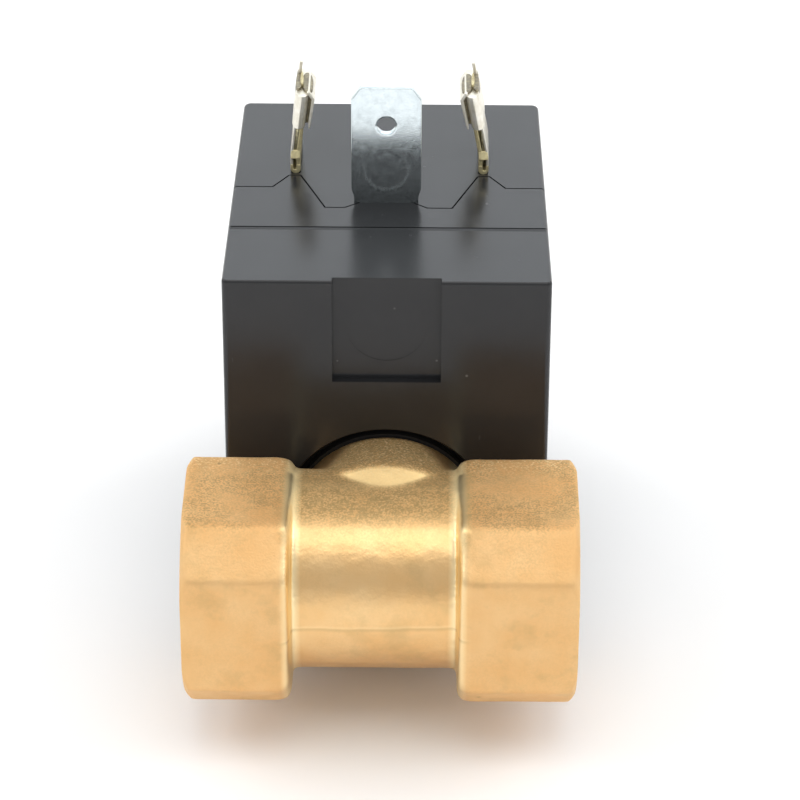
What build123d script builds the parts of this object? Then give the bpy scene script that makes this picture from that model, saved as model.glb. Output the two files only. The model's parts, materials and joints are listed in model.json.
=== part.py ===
from build123d import *
import os
from math import cos, radians, sin, sqrt, tan

# Two-way, normally closed, direct-acting solenoid valve with a plug-on coil.
#
# Frame: +Z is the direction the plug contacts point, X is the pipe axis and +Y runs along the
# stem, from the brass body into the coil. The origin is on the coil's flat underside, straight
# below the stem axis and midway along the coil.
# Places along the stem are given as a distance from the pipe axis, called "along".

# ---------------------------------------------------------------- driving dimensions, in mm
# coil block
coil_front_width = 30.2
coil_rear_width = 29.3
coil_depth = 36.4
coil_height = 40.8
stem_height = 15.0
coil_edge_radius = 0.5
coil_rear_corner = 0.7
coil_bottom_bevel = 0.25
coil_bore = 5.0
coil_recess_radius = 9.85
coil_recess_depth = 2.0
coil_recess_lip = 0.15

# brass body
body_to_coil = 10.2
left_end = -18.3
left_inner = -8.45
right_end = 17.6
right_inner = 6.65
half_flats = 9.65
half_flat_width = 5.84
corner_round = 0.8
inner_round = 0.8
end_bevel_start = 10.3
end_bevel_angle = 30
barrel_radius = 9.2
barrel_shift = 1.84
boss_rim_radius = 10.2
boss_rim_along = 4.0
boss_face_radius = 8.85
boss_end = 11.2
boss_root_radius = 8.7
boss_neck_along = 1.25
boss_neck_radius = 9.18

# ports, G1/4
port_radius = 6.58
port_depth = 9.4
port_countersink = 0.7

# valve seat and passages
chamber_floor = 1.0
chamber_radius = 5.2
seat_top = 2.6
seat_lip_radius = 2.0
seat_root_radius = 2.8
orifice_radius = 1.3
passage_radius = 2.1
inlet_passage_along = 1.0
inlet_passage_end = -3.6
outlet_passage_along = -2.2

# stem
gland_floor = 4.4
gland_radius = 6.4
flange_seat = 5.6
flange_radius = 7.3
flange_thickness = 1.6
retainer_radius = 7.5
retainer_end = 10.8
spanner_hole_radius = 0.8
spanner_hole_depth = 2.0
tube_inner = 4.25
tube_outer = 4.8
tube_end = 44.0
core_face = 25.8
core_end = 44.6
stud_radius = 3.0
stud_end = 56.0
shading_inner = 2.9
shading_outer = 3.6
shading_depth = 1.0

# plunger
plunger_radius = 4.18
plunger_nose = 2.7
plunger_end = 24.0
seal_radius = 2.9
seal_thickness = 1.7
spring_pocket_radius = 2.6
spring_pocket_floor = 15.0
spring_radius = 2.05
spring_wire = 0.22
spring_turns = 7
spring_end_gap = 0.02
plunger_groove_width = 1.2
plunger_groove_depth = 0.5

# coil inside
yoke_front = 13.2
yoke_rear = 44.0
yoke_thickness = 2.0
yoke_half_width = 11.0
yoke_bottom = 2.5
yoke_top = 27.0
yoke_bend_radius = 1.5
bush_radius = 6.0
bush_length = 8.0
bobbin_barrel = 7.0
bobbin_flange = 10.4
bobbin_flange_thickness = 1.2
winding_radius = 10.1
lead_radius = 0.35
lead_meet_x = 6.0
lead_bend_radius = 1.5
lead_drop = 5.0
lead_gap = 0.3

# power contacts: heights are above the coil, thicknesses are across the folded sheet
contact_spacing = 18.0
contact_front = 20.9
contact_width = 6.3
contact_height = 9.9
contact_root = 6.0
contact_sheet = 0.36
contact_slot = 0.2
contact_bend = 1.9
bridge_low = 1.8
bridge_high = 2.7
bridge_rim = 0.05
sleeve_low = 4.8
sleeve_high = 8.8
sleeve_rim = 0.3
sleeve_wrap = 0.08
wing_gap = 0.34
wing_sheet = 0.28
wing_low = 5.1
tip_high = 9.55
tip_outer = 0.5
tip_gap = 0.1
lean_left = 6.5
lean_right = 10.5

# earth contact
earth_front = 15.2
earth_thickness = 0.8
earth_shift = -0.24
earth_half_width = 3.3
earth_base_half_width = 3.05
earth_base_height = 0.6
earth_shoulder_low = 1.4
earth_shoulder_high = 10.75
earth_height = 12.05
earth_tip_half_width = 2.4
earth_corner = 1.0
earth_hole_radius = 0.88
earth_hole_height = 8.1
earth_disc_radius = 2.05
earth_disc_height = 3.5
earth_disc_depth = 0.02

# coil surface details
pocket_width = 10.05
pocket_height = 10.7
pocket_depth = 0.75
mark_radius = 3.7
mark_drop = 5.1
mark_depth = 0.05
seam_width = 0.16
seam_depth = 0.25
seam_outer_behind = 18.3
seam_contact_behind = 20.7
seam_inner_behind = 14.2
seam_bend_outer = 11.1
seam_bend_contact = 9.6
seam_bend_foot = 8.5
seam_bend_inner = 6.0
seam_bend_earth = 3.9
crease_behind = 10.4
crease_depth = 0.15
crease_slope = 0.4
crease_step = 0.06

# fastening of the coil
running_gap = 0.1
front_gasket_radius = 8.8
washer_radius = 8.5
washer_clearance = 0.1
spring_washer_radius = 5.1
spring_washer_split = 0.6
rear_gasket_thickness = 0.8
rear_washer_thickness = 1.2
spring_washer_thickness = 1.5
nut_thickness = 5.0
nut_flats = 10.0
nut_bevel_start = 4.8
nut_bevel_rise = 3.0

# ---------------------------------------------------------------- derived places and planes
coil_front = -coil_depth / 2
body_y = coil_front - body_to_coil
coil_rear_along = body_to_coil + coil_depth
stem_plane = Plane(origin=(0, body_y, stem_height), x_dir=(0, 1, 0), z_dir=(1, 0, 0))
stem_axis = Axis((0, body_y, stem_height), (0, 1, 0))
port_axis = Axis((0, body_y, stem_height), (1, 0, 0))


def across_ports(x, along=0.0):
    """Plane square to the pipe axis at x, centred on the pipe axis shifted along the stem."""
    return Plane(origin=(x, body_y + along, stem_height), x_dir=(0, 1, 0), z_dir=(1, 0, 0))


def across_stem(along):
    """Plane square to the stem, facing the brass body, with its x along X and its y along Z."""
    return Plane(origin=(0, body_y + along, stem_height), x_dir=(1, 0, 0), z_dir=(0, -1, 0))


def turn(outline, mode=Mode.ADD):
    """Turn a closed outline of (along the stem, radius) points about the stem axis."""
    with BuildSketch(stem_plane) as profile:
        with BuildLine():
            Polyline(*outline, close=True)
        make_face()
    revolve(profile.sketch, axis=stem_axis, mode=mode)


def turn_ring(start, end, inner, outer, mode=Mode.ADD):
    """Turn a plain ring, or a disc when inner is 0, about the stem axis."""
    turn([(start, inner), (end, inner), (end, outer), (start, outer)], mode)


def bevel_end(x, inward):
    """Cut the bevel that leaves the scalloped end face of an octagonal port end."""
    reach = 3.0
    depth = reach * tan(radians(end_bevel_angle))
    beside_ports = Plane(origin=(0, body_y, stem_height), x_dir=(1, 0, 0), z_dir=(0, -1, 0))
    with BuildSketch(beside_ports) as wedge:
        with BuildLine():
            Polyline((x, end_bevel_start), (x, end_bevel_start + reach),
                     (x + inward * depth, end_bevel_start + reach), close=True)
        make_face()
    revolve(wedge.sketch, axis=port_axis, mode=Mode.SUBTRACT)


# ---------------------------------------------------------------- brass body
with BuildPart() as valve_body:
    for outer_x, inner_x in ((left_end, left_inner), (right_end, right_inner)):
        with BuildSketch(across_ports(outer_x)) as octagon:
            Rectangle(2 * half_flats, 2 * half_flats)
            chamfer(octagon.vertices(), half_flats - half_flat_width)
            fillet(octagon.vertices(), corner_round)
        extrude(amount=inner_x - outer_x)
        inner_face = valve_body.faces().filter_by(Axis.X).sort_by(lambda f: abs(f.center().X - inner_x))[0]
        fillet(inner_face.edges(), inner_round)

    # barrel between the ends, cut flat at the back
    with BuildSketch(across_ports(left_inner - 1)):
        with Locations((barrel_shift, 0)):
            Circle(barrel_radius)
        with Locations((half_flats + barrel_radius, 0)):
            Rectangle(2 * barrel_radius, 3 * barrel_radius, mode=Mode.SUBTRACT)
    extrude(amount=right_inner - left_inner + 2)

    # boss that carries the stem: it flares out of the barrel, then tapers to the coil
    turn([(0, 0), (0, boss_root_radius), (boss_neck_along, boss_neck_radius),
          (boss_rim_along - 0.3, boss_rim_radius), (boss_rim_along + 0.3, boss_rim_radius),
          (body_to_coil, boss_face_radius), (boss_end - 0.4, boss_face_radius - 0.1),
          (boss_end, boss_face_radius - 0.5), (boss_end, 0)])

    bevel_end(left_end, 1)
    bevel_end(right_end, -1)

    # threaded ports, at the thread's major diameter, each with a countersunk mouth
    for outer_x, inward in ((left_end, 1), (right_end, -1)):
        with BuildSketch(across_ports(outer_x)):
            Circle(port_radius)
        extrude(amount=inward * port_depth, mode=Mode.SUBTRACT)
        rims = valve_body.edges().filter_by(GeomType.CIRCLE)
        rims = rims.filter_by(lambda e: abs(e.radius - port_radius) < 0.01)
        mouth = rims.filter_by(lambda e: abs(e.center().X - outer_x) < 0.01)
        chamfer(mouth, port_countersink)

    # chamber round the seat nozzle, seal gland, flange seat and retainer thread
    turn([(seat_top, 0), (boss_end + 1, 0), (boss_end + 1, retainer_radius), (flange_seat, retainer_radius),
          (flange_seat, gland_radius), (gland_floor, gland_radius), (gland_floor, chamber_radius),
          (chamber_floor, chamber_radius), (chamber_floor, seat_root_radius),
          (seat_top - 0.3, seat_lip_radius), (seat_top, seat_lip_radius - 0.2)], Mode.SUBTRACT)
    turn_ring(outlet_passage_along, seat_top + 1, 0, orifice_radius, Mode.SUBTRACT)

    # inlet passage into the chamber, outlet passage under the seat
    with BuildSketch(across_ports(left_end + port_depth - 1, inlet_passage_along)):
        Circle(passage_radius)
    extrude(amount=inlet_passage_end - (left_end + port_depth - 1), mode=Mode.SUBTRACT)
    with BuildSketch(across_ports(right_end - port_depth + 1, outlet_passage_along)):
        Circle(passage_radius)
    extrude(amount=-orifice_radius - 0.2 - (right_end - port_depth + 1), mode=Mode.SUBTRACT)

# ---------------------------------------------------------------- stem, fixed in the body
with BuildPart() as tube_o_ring:
    ring_radius = (chamber_radius + gland_radius) / 2
    section = (gland_radius - chamber_radius) / 2
    with BuildSketch(stem_plane):
        with Locations(((gland_floor + flange_seat) / 2, ring_radius)):
            Circle(section)
    revolve(axis=stem_axis)

with BuildPart() as stem_tube:
    turn([(flange_seat, tube_inner), (tube_end, tube_inner), (tube_end, tube_outer),
          (flange_seat + flange_thickness, tube_outer), (flange_seat + flange_thickness, flange_radius),
          (flange_seat, flange_radius)])

with BuildPart() as stem_retainer:
    turn_ring(flange_seat + flange_thickness, retainer_end, tube_outer + 0.1, retainer_radius)
    with BuildSketch(across_stem(retainer_end)):
        with PolarLocations((tube_outer + retainer_radius) / 2, 2):
            Circle(spanner_hole_radius)
    extrude(amount=spanner_hole_depth, mode=Mode.SUBTRACT)

with BuildPart() as fixed_core:
    turn([(core_face, 0), (core_face, tube_inner), (core_end, tube_inner), (core_end, stud_radius),
          (stud_end - 0.6, stud_radius), (stud_end, stud_radius - 0.6), (stud_end, 0)])
    turn_ring(core_face, core_face + shading_depth, shading_inner, shading_outer, Mode.SUBTRACT)

with BuildPart() as shading_ring:
    turn_ring(core_face, core_face + shading_depth, shading_inner, shading_outer)

# ---------------------------------------------------------------- plunger, slides in the tube
with BuildPart() as plunger:
    turn([(plunger_nose, 0), (plunger_nose, plunger_radius - 0.5), (plunger_nose + 0.5, plunger_radius),
          (plunger_end - 0.3, plunger_radius), (plunger_end, plunger_radius - 0.3), (plunger_end, 0)])
    turn_ring(plunger_nose, plunger_nose + seal_thickness, 0, seal_radius, Mode.SUBTRACT)
    turn_ring(spring_pocket_floor, plunger_end, 0, spring_pocket_radius, Mode.SUBTRACT)
    # two grooves let the fluid past
    with BuildSketch(across_stem(plunger_nose)):
        with Locations((plunger_radius, 0), (-plunger_radius, 0)):
            Rectangle(2 * plunger_groove_depth, plunger_groove_width)
    extrude(amount=-(plunger_end - plunger_nose), mode=Mode.SUBTRACT)

with BuildPart() as plunger_seal:
    turn_ring(plunger_nose, plunger_nose + seal_thickness, 0, seal_radius)

with BuildPart() as return_spring:
    wound_length = core_face - spring_pocket_floor - 2 * (spring_wire + spring_end_gap)
    spring_start = (0, body_y + spring_pocket_floor + spring_wire + spring_end_gap, stem_height)
    with BuildLine():
        coil_line = Helix(wound_length / spring_turns, wound_length, spring_radius, center=spring_start,
                          direction=(0, 1, 0))
    with BuildSketch(Plane(coil_line @ 0, z_dir=coil_line % 0)):
        Circle(spring_wire)
    sweep(path=coil_line)

# ---------------------------------------------------------------- coil inside
rear_leg_start = yoke_rear - yoke_thickness
front_leg_end = yoke_front + yoke_thickness

with BuildPart() as yoke_frame:
    middle_y = body_y + (yoke_front + yoke_rear) / 2
    middle_z = (yoke_bottom + yoke_top) / 2
    with BuildSketch(Plane.YZ) as strap:
        with Locations((middle_y, middle_z)):
            Rectangle(yoke_rear - yoke_front, yoke_top - yoke_bottom)
        fillet(strap.vertices().group_by(Axis.Y)[0], yoke_bend_radius)
        with Locations((middle_y, middle_z + yoke_thickness)):
            Rectangle(rear_leg_start - front_leg_end, yoke_top - yoke_bottom, mode=Mode.SUBTRACT)
    extrude(amount=yoke_half_width, both=True)
    turn_ring(yoke_front - 1, yoke_rear + 1, 0, bush_radius, Mode.SUBTRACT)

with BuildPart() as pole_bush_front:
    turn_ring(yoke_front, yoke_front + bush_length, coil_bore, bush_radius)

with BuildPart() as pole_bush_rear:
    turn_ring(yoke_rear - bush_length, yoke_rear, coil_bore, bush_radius)

with BuildPart() as bobbin:
    turn_ring(front_leg_end, rear_leg_start, coil_bore, bobbin_barrel)
    turn_ring(front_leg_end, front_leg_end + bobbin_flange_thickness, coil_bore, bobbin_flange)
    turn_ring(rear_leg_start - bobbin_flange_thickness, rear_leg_start, coil_bore, bobbin_flange)
    turn_ring(front_leg_end, yoke_front + bush_length, 0, bush_radius, Mode.SUBTRACT)
    turn_ring(yoke_rear - bush_length, rear_leg_start, 0, bush_radius, Mode.SUBTRACT)

with BuildPart() as winding:
    turn_ring(front_leg_end + bobbin_flange_thickness, rear_leg_start - bobbin_flange_thickness,
              bobbin_barrel, winding_radius)

# ---------------------------------------------------------------- plug contacts
leaf_width = contact_width - 2 * sleeve_rim
contact_near = coil_front + contact_front + sleeve_rim
contact_half = contact_sheet + contact_slot / 2
earth_y = coil_front + earth_front


def contact_plane(side, lean, y):
    """Plane across a power contact at y, from its bend: x runs inwards to the other contact, y up."""
    tilt = radians(lean)
    return Plane(origin=(side * contact_spacing / 2, y, coil_height + contact_bend),
                 x_dir=(-side * cos(tilt), 0, -sin(tilt)), z_dir=(0, side, 0))


def contact_layer(side, lean, across, up, deep):
    """One flat layer of a contact: its extents across the sheet, up from the coil, and in depth."""
    with BuildSketch(contact_plane(side, lean, contact_near + deep[0])) as layer:
        with Locations((sum(across) / 2, sum(up) / 2 - contact_bend)):
            Rectangle(across[1] - across[0], up[1] - up[0])
    extrude(layer.sketch, amount=side * (deep[1] - deep[0]))


def power_contact(side, lean):
    """A contact folded from sheet: two leaves, a bridge, a sleeve, a side wing and a split tip."""
    whole = (-contact_half, contact_half)
    outer_leaf = (-contact_half, -contact_half + contact_sheet)
    inner_leaf = (contact_half - contact_sheet, contact_half)
    leaf_deep = (0, leaf_width)
    wing_inside = contact_half + wing_gap
    wing_outside = wing_inside + wing_sheet
    with BuildPart() as contact:
        # root in the plastic and foot of the fold, upright
        contact_layer(side, 0, whole, (-contact_root, contact_sheet), leaf_deep)
        # the two leaves stand upright to the bend, then lean inwards to the sleeve
        for leaf in (outer_leaf, inner_leaf):
            contact_layer(side, 0, leaf, (0, contact_bend + 0.1), leaf_deep)
            contact_layer(side, lean, leaf, (contact_bend - 0.1, sleeve_low + 0.1), leaf_deep)
        contact_layer(side, lean, (-contact_half - bridge_rim, contact_half + bridge_rim),
                      (bridge_low, bridge_high), (-bridge_rim, leaf_width + bridge_rim))
        # sleeve that wraps both leaves
        contact_layer(side, lean, (-contact_half - sleeve_wrap, contact_half + sleeve_wrap),
                      (sleeve_low, sleeve_high), (-sleeve_rim, leaf_width + sleeve_rim))
        # wing folded back down on the inner side, hung from the sleeve's top
        wing_deep = (0.1, leaf_width - 1)
        contact_layer(side, lean, (wing_inside, wing_outside), (wing_low, sleeve_high), wing_deep)
        contact_layer(side, lean, (contact_half, wing_outside), (sleeve_high - contact_sheet, sleeve_high),
                      wing_deep)
        # split tip: an outer leaf that ends in a spike, and a thicker inner lobe
        contact_layer(side, lean, (-contact_half, -contact_half + tip_outer),
                      (sleeve_high - 0.1, tip_high), (0.3, leaf_width - 0.6))
        contact_layer(side, lean, (-contact_half + 0.1, -contact_half + tip_outer - 0.1),
                      (tip_high - 0.1, contact_height), (1.9, leaf_width - 1))
        contact_layer(side, lean, (-contact_half + tip_outer + tip_gap, wing_inside),
                      (sleeve_high - 0.1, tip_high), (0.1, leaf_width - 2))
    return contact.part


power_contact_left = power_contact(-1, lean_left)
power_contact_right = power_contact(1, lean_right)

with BuildPart() as earth_contact:
    # half widths of the blade, from the yoke up to the tip
    edge = [(earth_base_half_width, yoke_top),
            (earth_base_half_width, coil_height + earth_base_height),
            (earth_half_width, coil_height + earth_shoulder_low),
            (earth_half_width, coil_height + earth_shoulder_high),
            (earth_tip_half_width, coil_height + earth_height)]
    with BuildSketch(Plane.XZ.offset(-earth_y)) as blade:
        with BuildLine():
            Polyline(*[(earth_shift - half, height) for half, height in edge],
                     *[(earth_shift + half, height) for half, height in reversed(edge)], close=True)
        make_face()
        tip_corners = blade.vertices().filter_by(lambda v: v.Z > coil_height + earth_shoulder_high - 1)
        fillet(tip_corners, earth_corner)
        with Locations((earth_shift, coil_height + earth_hole_height)):
            Circle(earth_hole_radius, mode=Mode.SUBTRACT)
    extrude(amount=-earth_thickness)
    # round coined disc, pressed in on both faces
    for face_y, inward in ((earth_y, -1), (earth_y + earth_thickness, 1)):
        with BuildSketch(Plane.XZ.offset(-face_y)):
            with Locations((earth_shift, coil_height + earth_disc_height)):
                Circle(earth_disc_radius)
        extrude(amount=inward * earth_disc_depth, mode=Mode.SUBTRACT)
    # foot that runs forward to the front leg of the yoke, where it is welded
    foot_front = body_y + yoke_front
    with BuildSketch(Plane.XY.offset(yoke_top)):
        with Locations((earth_shift, (foot_front + earth_y + earth_thickness) / 2)):
            Rectangle(2 * earth_base_half_width, earth_y + earth_thickness - foot_front)
    extrude(amount=earth_thickness)


# ---------------------------------------------------------------- leads from the winding
def coil_lead(side):
    """Wire from the winding's surface up to the root of one power contact."""
    root_x = side * contact_spacing / 2
    lead_y = contact_near + contact_width / 2
    root_z = coil_height - contact_root
    meet_x = side * lead_meet_x
    meet_z = stem_height + sqrt(winding_radius ** 2 - lead_meet_x ** 2) + lead_gap
    with BuildPart() as lead:
        with BuildLine():
            route = FilletPolyline((root_x, lead_y, root_z), (root_x, lead_y, root_z - lead_drop),
                                   (meet_x, lead_y, meet_z), radius=lead_bend_radius)
        with BuildSketch(Plane(route @ 0, z_dir=route % 0)):
            Circle(lead_radius)
        sweep(path=route)
    return lead.part


coil_leads = Compound(children=[coil_lead(-1), coil_lead(1)])

# ---------------------------------------------------------------- coil housing, moulded round its inserts
def groove(points):
    """Cut a fine line along points (x, y) in the coil's contact face."""
    with BuildSketch(Plane.XY.offset(coil_height)) as line:
        with BuildLine() as path:
            Polyline(*points)
        trace(path.line, line_width=seam_width)
    extrude(line.sketch, amount=-seam_depth, mode=Mode.SUBTRACT)


with BuildPart() as coil_housing:
    with BuildSketch() as plan:
        with BuildLine():
            Polyline((-coil_front_width / 2, coil_front), (coil_front_width / 2, coil_front),
                     (coil_rear_width / 2, -coil_front), (-coil_rear_width / 2, -coil_front), close=True)
        make_face()
        fillet(plan.vertices().group_by(Axis.Y)[0], coil_edge_radius)
        fillet(plan.vertices().group_by(Axis.Y)[-1], coil_rear_corner)
    extrude(amount=coil_height)
    fillet(coil_housing.faces().sort_by(Axis.Z)[-1].edges(), coil_edge_radius - 0.1)
    chamfer(coil_housing.faces().sort_by(Axis.Z)[0].edges(), coil_bottom_bevel)

    # shallow square pocket at the top of the front face, with a faint round mark
    with BuildSketch(Plane.XZ.offset(-coil_front)):
        with Locations((0, coil_height - pocket_height / 2 + 0.5)):
            Rectangle(pocket_width, pocket_height + 1)
    extrude(amount=-pocket_depth, mode=Mode.SUBTRACT)
    with BuildSketch(Plane.XZ.offset(-coil_front - pocket_depth)):
        with Locations((0, coil_height - mark_drop)):
            Circle(mark_radius)
    extrude(amount=-mark_depth, mode=Mode.SUBTRACT)

    # mould seam past the contacts, and a crease with a small step down in front of them
    seam_outer = coil_front + seam_outer_behind
    seam_contact = coil_front + seam_contact_behind
    seam_inner = coil_front + seam_inner_behind
    for side in (-1, 1):
        groove([(side * coil_front_width, seam_outer), (side * seam_bend_outer, seam_outer),
                (side * seam_bend_contact, seam_contact), (side * seam_bend_foot, seam_contact),
                (side * seam_bend_inner, seam_inner), (earth_shift + side * seam_bend_earth, seam_inner),
                (earth_shift + side * (earth_base_half_width - 1), earth_y + earth_thickness / 2)])
    crease_y = coil_front + crease_behind
    with BuildSketch(Plane.YZ):
        with BuildLine():
            Polyline((crease_y, coil_height + 1), (crease_y, coil_height - crease_depth),
                     (crease_y - seam_width / 2, coil_height - crease_depth),
                     (crease_y - seam_width, coil_height - 0.01),
                     (crease_y - seam_width - crease_slope, coil_height - crease_step),
                     (coil_front - 1, coil_height - crease_step),
                     (coil_front - 1, coil_height + 1), close=True)
        make_face()
    extrude(amount=coil_front_width, both=True, mode=Mode.SUBTRACT)

    # recess for the boss, bore for the stem
    turn([(body_to_coil, 0), (body_to_coil, coil_recess_radius + coil_recess_lip),
          (body_to_coil + coil_recess_lip, coil_recess_radius),
          (body_to_coil + coil_recess_depth, coil_recess_radius),
          (body_to_coil + coil_recess_depth, 0)], Mode.SUBTRACT)
    turn_ring(body_to_coil, coil_rear_along, 0, coil_bore, Mode.SUBTRACT)

    for insert in (yoke_frame.part, pole_bush_front.part, pole_bush_rear.part, bobbin.part, winding.part,
                   power_contact_left, power_contact_right, earth_contact.part, coil_leads):
        add(insert, mode=Mode.SUBTRACT)

# ---------------------------------------------------------------- seals and fastening at both coil faces
with BuildPart() as front_gasket:
    turn_ring(boss_end + running_gap, body_to_coil + coil_recess_depth, retainer_radius, front_gasket_radius)

with BuildPart() as rear_gasket:
    turn_ring(coil_rear_along, coil_rear_along + rear_gasket_thickness, coil_bore + 0.4, washer_radius)

washer_start = coil_rear_along + rear_gasket_thickness + running_gap
spring_washer_start = washer_start + rear_washer_thickness
nut_start = spring_washer_start + spring_washer_thickness

with BuildPart() as rear_washer:
    turn_ring(washer_start, spring_washer_start, stud_radius + washer_clearance, washer_radius)

with BuildPart() as spring_washer:
    turn_ring(spring_washer_start, nut_start, stud_radius + washer_clearance, spring_washer_radius)
    # the split of a spring washer
    with BuildSketch(across_stem(spring_washer_start)):
        with Locations((0, (stud_radius + spring_washer_radius) / 2)):
            Rectangle(spring_washer_split, spring_washer_radius - stud_radius + 0.5)
    extrude(amount=-spring_washer_thickness, mode=Mode.SUBTRACT)

with BuildPart() as coil_nut:
    with BuildSketch(across_stem(nut_start)):
        RegularPolygon(nut_flats / 2, 6, major_radius=False)
        Circle(stud_radius, mode=Mode.SUBTRACT)
    extrude(amount=-nut_thickness)
    # bevelled corners at both faces
    for face, inward in ((nut_start, 1), (nut_start + nut_thickness, -1)):
        turn([(face, nut_bevel_start), (face, nut_flats), (face + inward * nut_bevel_rise, nut_flats)],
             Mode.SUBTRACT)

# ---------------------------------------------------------------- export
pieces = {
    "valve_body": valve_body.part,
    "tube_o_ring": tube_o_ring.part,
    "stem_tube": stem_tube.part,
    "stem_retainer": stem_retainer.part,
    "fixed_core": fixed_core.part,
    "shading_ring": shading_ring.part,
    "plunger": plunger.part,
    "plunger_seal": plunger_seal.part,
    "return_spring": return_spring.part,
    "yoke_frame": yoke_frame.part,
    "pole_bush_front": pole_bush_front.part,
    "pole_bush_rear": pole_bush_rear.part,
    "bobbin": bobbin.part,
    "winding": winding.part,
    "power_contact_left": power_contact_left,
    "power_contact_right": power_contact_right,
    "earth_contact": earth_contact.part,
    "coil_leads": coil_leads,
    "coil_housing": coil_housing.part,
    "front_gasket": front_gasket.part,
    "rear_gasket": rear_gasket.part,
    "rear_washer": rear_washer.part,
    "spring_washer": spring_washer.part,
    "coil_nut": coil_nut.part,
}
os.makedirs("parts", exist_ok=True)
for name, piece in pieces.items():
    piece.label = name
    export_step(piece, f"parts/{name}.step")
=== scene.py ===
import json
import math

import bmesh
import bpy
import numpy as np
from mathutils import Matrix, Vector, noise


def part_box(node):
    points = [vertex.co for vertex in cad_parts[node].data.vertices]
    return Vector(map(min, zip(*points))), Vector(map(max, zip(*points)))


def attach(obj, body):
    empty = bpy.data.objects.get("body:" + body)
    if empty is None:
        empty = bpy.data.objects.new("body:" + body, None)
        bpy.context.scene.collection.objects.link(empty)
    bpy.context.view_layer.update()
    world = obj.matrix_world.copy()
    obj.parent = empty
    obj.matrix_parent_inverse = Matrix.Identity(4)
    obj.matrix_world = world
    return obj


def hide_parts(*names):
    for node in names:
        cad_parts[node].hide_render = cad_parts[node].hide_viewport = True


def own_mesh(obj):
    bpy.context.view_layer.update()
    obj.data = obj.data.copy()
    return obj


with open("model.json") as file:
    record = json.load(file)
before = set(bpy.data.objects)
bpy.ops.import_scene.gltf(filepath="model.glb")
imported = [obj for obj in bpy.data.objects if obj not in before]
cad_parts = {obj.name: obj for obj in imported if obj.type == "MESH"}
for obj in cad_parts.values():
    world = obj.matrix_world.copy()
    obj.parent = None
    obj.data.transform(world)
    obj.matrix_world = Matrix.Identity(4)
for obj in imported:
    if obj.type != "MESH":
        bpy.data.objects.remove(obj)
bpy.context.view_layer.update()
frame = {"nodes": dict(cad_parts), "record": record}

MM = 0.001

# ------------------------------------------------------------------ places, all from the frame
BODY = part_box("valve_body")
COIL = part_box("coil_housing")
MOUNTS = {m["name"]: m for m in frame["record"]["mounts"]}
PORT_AXIS = Vector(MOUNTS["inlet_port"]["pos_m"])
PORT_AXIS.x = 0.0
COIL_TOP = COIL[1][2] / MM
BODY_AXIS_Y = PORT_AXIS.y / MM
BODY_AXIS_Z = PORT_AXIS.z / MM


def new_object(name, verts, faces):
    """A smooth-shaded mesh object from points in metres, linked to the scene."""
    mesh = bpy.data.meshes.new(name)
    mesh.from_pydata([tuple(v) for v in verts], [], faces)
    mesh.polygons.foreach_set("use_smooth", [True] * len(mesh.polygons))
    made = bpy.data.objects.new(name, mesh)
    bpy.context.scene.collection.objects.link(made)
    return made


# ------------------------------------------------------------------ camera
CAMERA_AZIMUTH = math.radians(0.68)
CAMERA_ELEVATION = math.radians(31.17)
CAMERA_DISTANCE = 329.9 * MM
AIM_ABOVE_PIPE = 16.56 * MM
AIM_RIGHT = 1.37 * MM
CAMERA_ROLL = math.radians(0.11)
IMAGE_FOCAL = 3574.3 / 800
SENSOR = 36.0

# radiances of the tent and its lights; the pale floor comes out near 1
TENT_LOW = 0.62
TENT_HIGH = 0.70
KEY = 2.05
SIDE_PANEL = 1.9
BACK_PANEL = 0.9

# brass: warm, pale and dull patches, the lens with its painted highlight, painted glints, dark specks,
# the painted highlight of the corners beside the barrel, the parting line, and the painted shade in the
# dull colour
BRASS_WARM = (0.80, 0.505, 0.225)
BRASS_PALE = (0.83, 0.56, 0.275)
# the dull colour serves both real dull patches and painted shade
BRASS_DULL_AND_SHADE = (0.46, 0.33, 0.15)
BRASS_RUBBED_HIGHLIGHT = (1.0, 0.74, 0.36)
BRASS_GLINT = (0.95, 0.76, 0.45)
BRASS_SPECK = (0.10, 0.06, 0.03)
BRASS_CORNER_HIGHLIGHT = (1.0, 0.84, 0.50)
BRASS_LINE = (0.95, 0.74, 0.42)

# how rough the brass is round the barrel, and on the ends and the boss
BARREL_ROUGHNESS = 0.33
BLASTED_ROUGHNESS = 0.58

# the coined disc of the earth blade
BLADE_MIDDLE = (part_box("earth_contact")[0][0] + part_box("earth_contact")[1][0]) / 2 / MM
DISC_HEIGHT = 3.5
DISC_RADIUS = 2.05

# the forging's barrel, in mm: where it ends along the pipe, its radius, and how far its own axis
# lies from the pipe axis towards the coil
BARREL_ENDS = (-8.45, 6.65)
BARREL_RADIUS = 9.2
BARREL_SHIFT = 1.84

# where the forging is machined, in mm: the ports out to this radius and from this far along the
# pipe, the chamber out to this radius round the stem, and the boss from this far behind the pipe
PORTS_OUT = 7.5
PORTS_START = 7.6
CHAMBER_OUT = 7.7
BOSS_FACE = 10.5
MACHINED_FADE = 1.5

# mesh of the forging: voxel in mm, and how often and how strongly it is smoothed
FORGING_VOXEL = 0.24
FORGING_SMOOTHING = 7
RIM_SMOOTHING = 16
BOSS_SOFTNESS = 0.35
ROOT_SOFTNESS = 0.25

# slow and quick waves of the forged skin, as waves per mm and height in mm, and how far it sinks
SKIN_WAVES = ((0.22, 0.05), (0.9, 0.012))
SKIN_SINK = 0.03

# voxels of the stamped pieces, in mm
BLADE_VOXEL = 0.10
WASHER_VOXEL = 0.14

# plug contacts: height at which they start to lean and spacing of their middles, in mm, and how
# far each leans inwards, in degrees
CONTACT_BEND = 1.9
CONTACT_SPACING = 18.0
LEFT_LEAN = 6.5
RIGHT_LEAN = 10.5


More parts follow.
